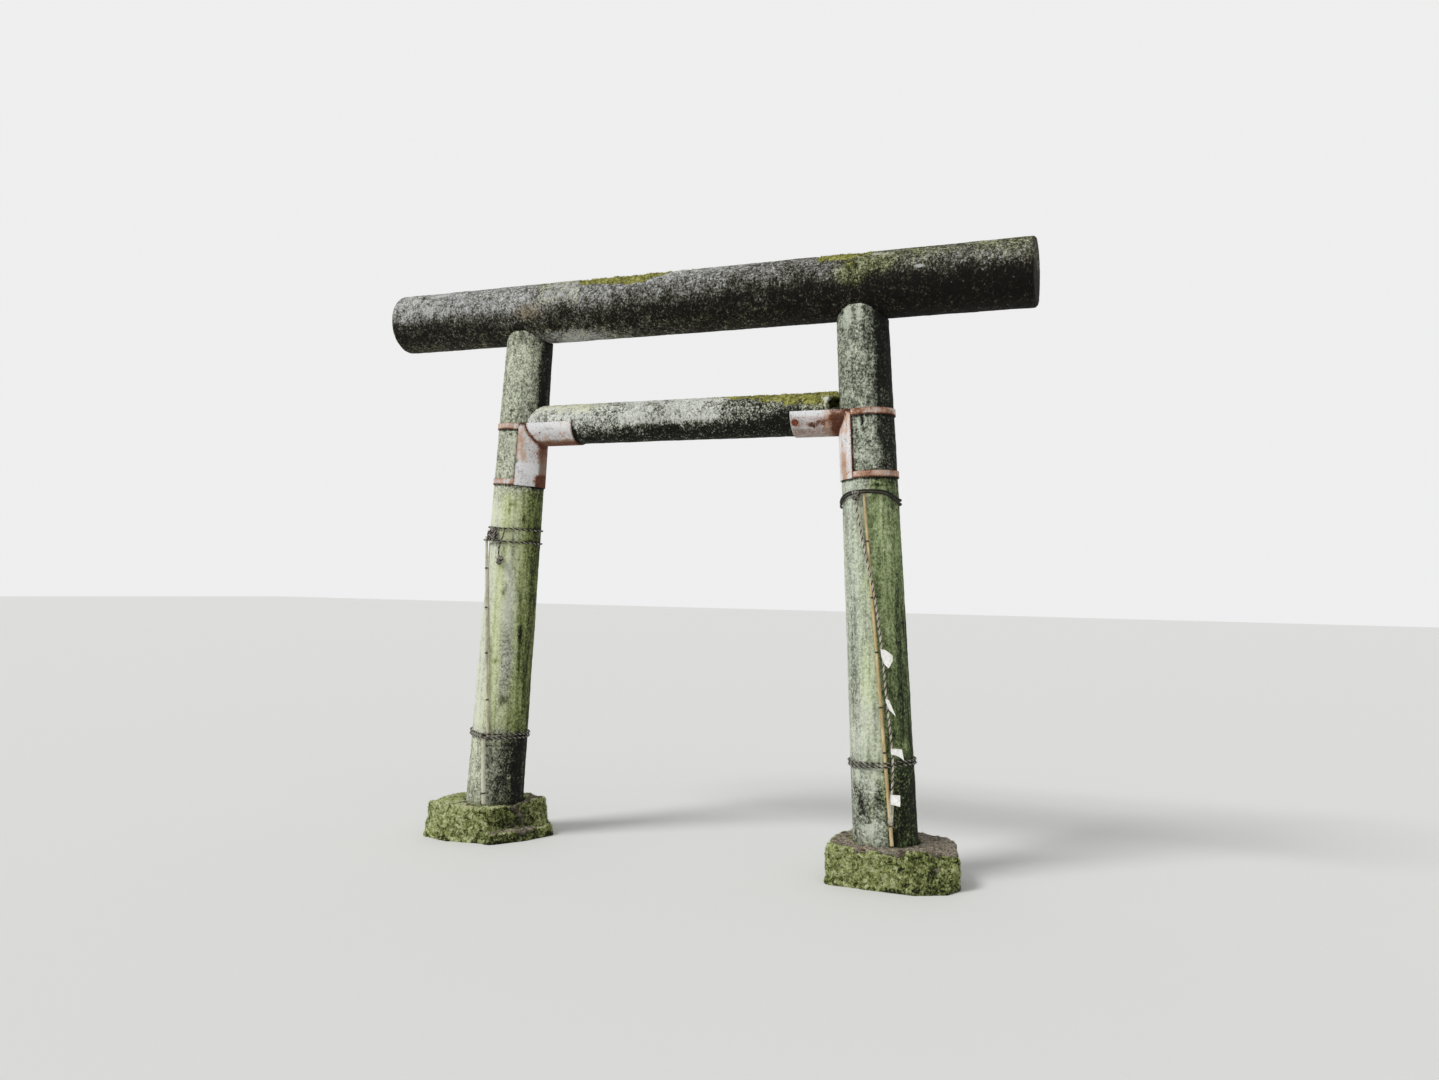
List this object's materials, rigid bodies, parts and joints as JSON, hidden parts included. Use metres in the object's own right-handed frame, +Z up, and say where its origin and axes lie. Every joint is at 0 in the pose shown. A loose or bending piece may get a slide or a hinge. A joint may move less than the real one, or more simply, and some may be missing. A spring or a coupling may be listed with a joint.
{
  "type": "torii gate",
  "caption": "Weathered torii gate of round concrete logs on rough base stones, with sheet steel tie brackets, cane and cord lashings, a hanging rope and white paper streamers.",
  "frame": {"origin": "on the ground midway between the two posts, at the centre of the gate's footprint", "axes": "+X along the lintel log, -Y the front, +Z up"},
  "size_m": [3.408, 0.5464, 2.9123],
  "materials": {
    "log_concrete": "matt, weathered, lichen and moss",
    "lintel_concrete": "matt, dark weathered underside",
    "tie_concrete": "matt, mossy top",
    "base_stone": "matt, thick moss",
    "bracket_steel": "white paint, flaking and rusted",
    "rusted_bolt": "matt rust",
    "cane": "dry bamboo, satin",
    "cord": "twisted dark cord",
    "rope": "twisted straw rope",
    "paper": "matt white"
  },
  "bodies": {
    "root": {"left_base_stone": "base_stone", "right_base_stone": "base_stone", "left_post": "log_concrete", "right_post": "log_concrete", "lintel_log": "lintel_concrete", "tie_log": "tie_concrete", "left_foot_cane": "cane", "left_long_cane": "cane", "right_cane": "cane", "left_upper_lashing": "cord", "left_lower_lashing": "cord", "right_upper_lashing": "cord", "right_lower_lashing": "cord", "right_rope": "rope", "right_rope_tie": "rope", "paper_streamers": "paper", "right_bracket_bolts": "rusted_bolt", "left_bracket_post_shell": "bracket_steel", "left_bracket_tie_shell": "bracket_steel", "left_upper_strap": "bracket_steel", "left_lower_strap": "bracket_steel", "right_bracket_post_shell": "bracket_steel", "right_bracket_tie_shell": "bracket_steel", "right_upper_strap": "bracket_steel", "right_lower_strap": "bracket_steel"}
  },
  "joints": []
}
